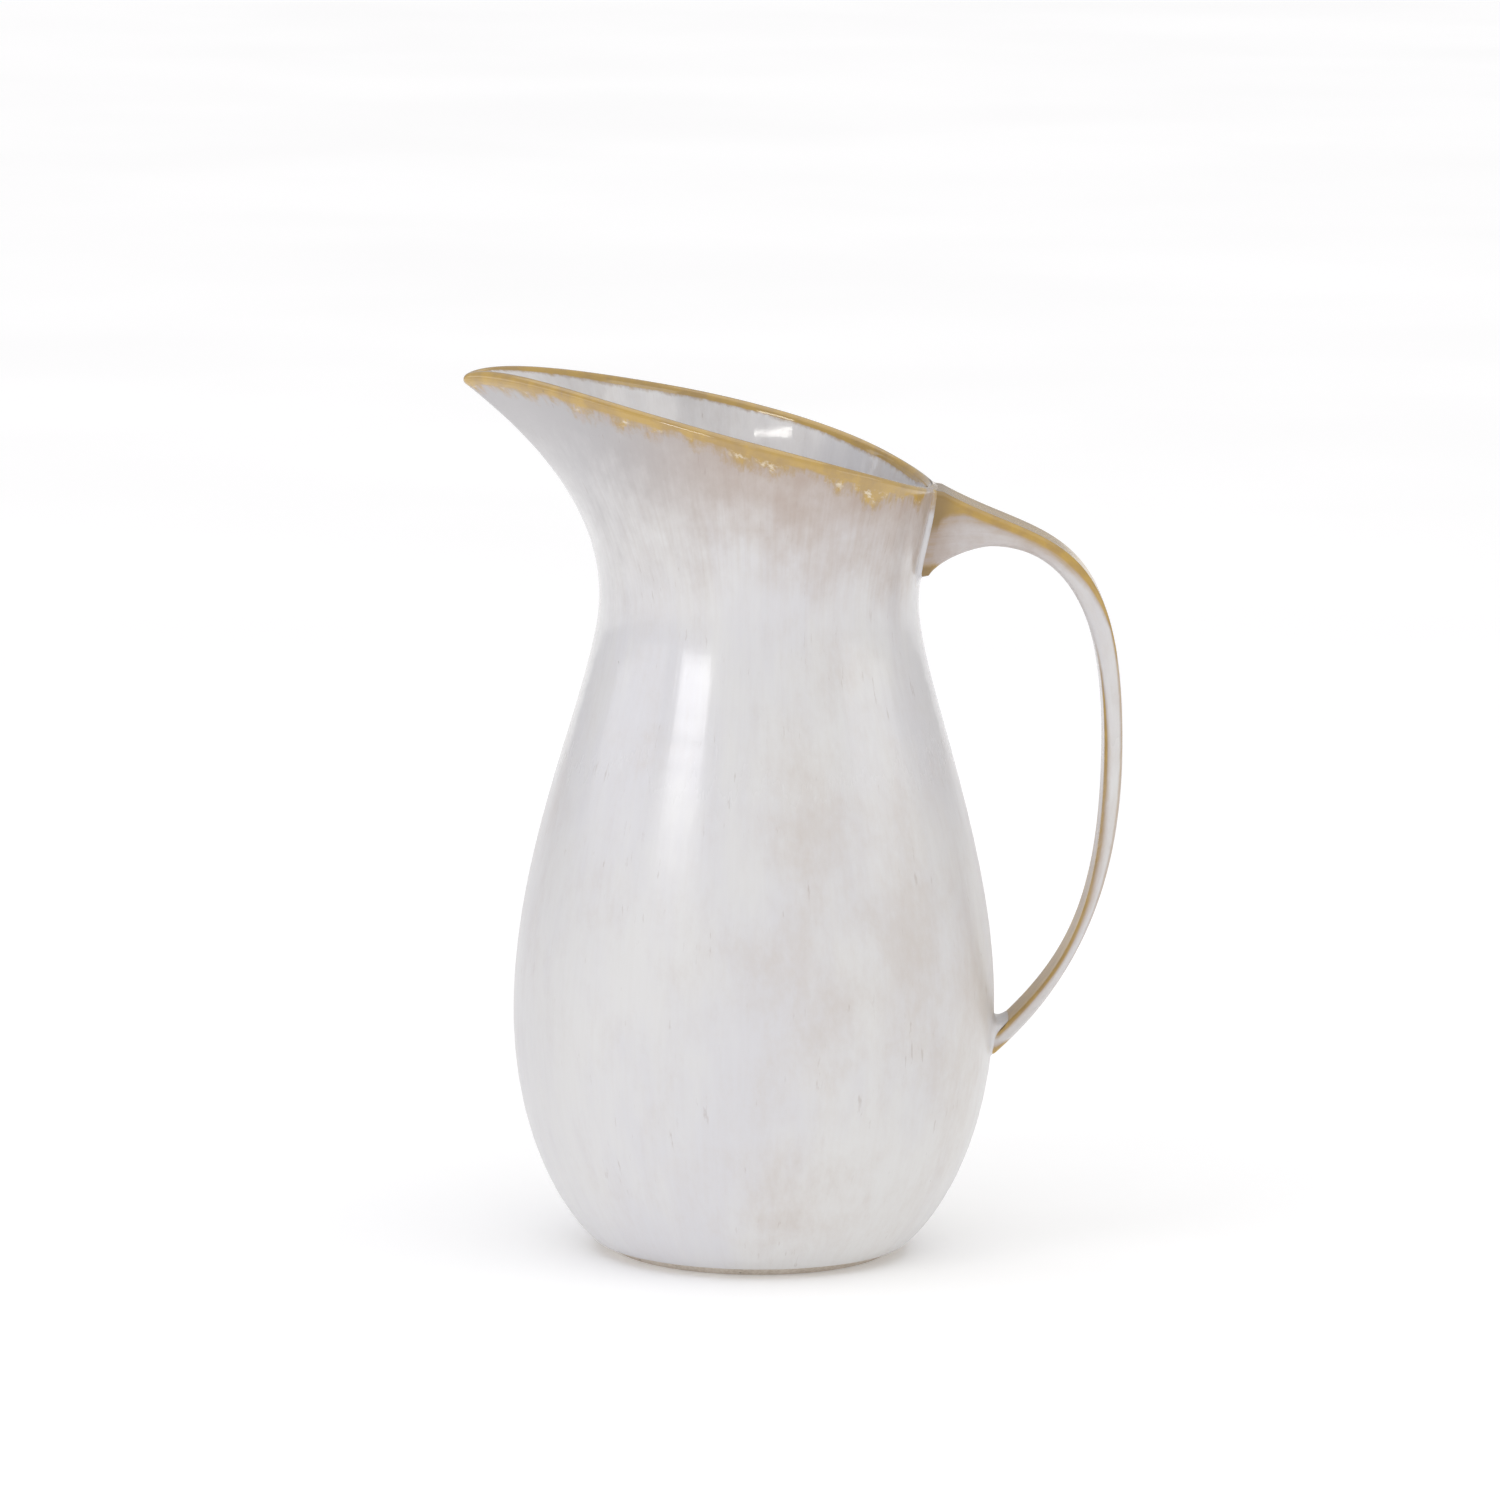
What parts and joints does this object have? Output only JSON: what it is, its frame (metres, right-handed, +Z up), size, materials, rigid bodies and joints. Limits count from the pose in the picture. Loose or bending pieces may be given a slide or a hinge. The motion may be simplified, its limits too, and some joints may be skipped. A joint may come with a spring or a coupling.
{
  "type": "pitcher",
  "caption": "Stoneware table pitcher with a rounded belly, narrow waist, flared mouth drawn into a long pouring spout, and a slim strap handle.",
  "frame": {"origin": "centre of the foot, on the plane that the pitcher stands on", "axes": "+Z up along the vessel's axis, the spout points to -X and the handle to +X, Y is across"},
  "size_m": [0.1956, 0.1428, 0.2615],
  "materials": {
    "stoneware": "matte",
    "bare_foot": "matte",
    "joint_slip": "gloss",
    "white_glaze": "gloss",
    "inner_glaze": "gloss",
    "amber_glaze": "gloss",
    "handle_glaze": "gloss"
  },
  "bodies": {
    "root": {"vessel_body": "stoneware", "foot_ring": "bare_foot", "handle_core": "stoneware", "upper_joint_slip": "joint_slip", "lower_joint_slip": "joint_slip", "exterior_glaze": "white_glaze", "interior_glaze": "inner_glaze", "rim_glaze": "amber_glaze", "handle_glaze": "handle_glaze", "underside_glaze": "inner_glaze"}
  },
  "joints": []
}
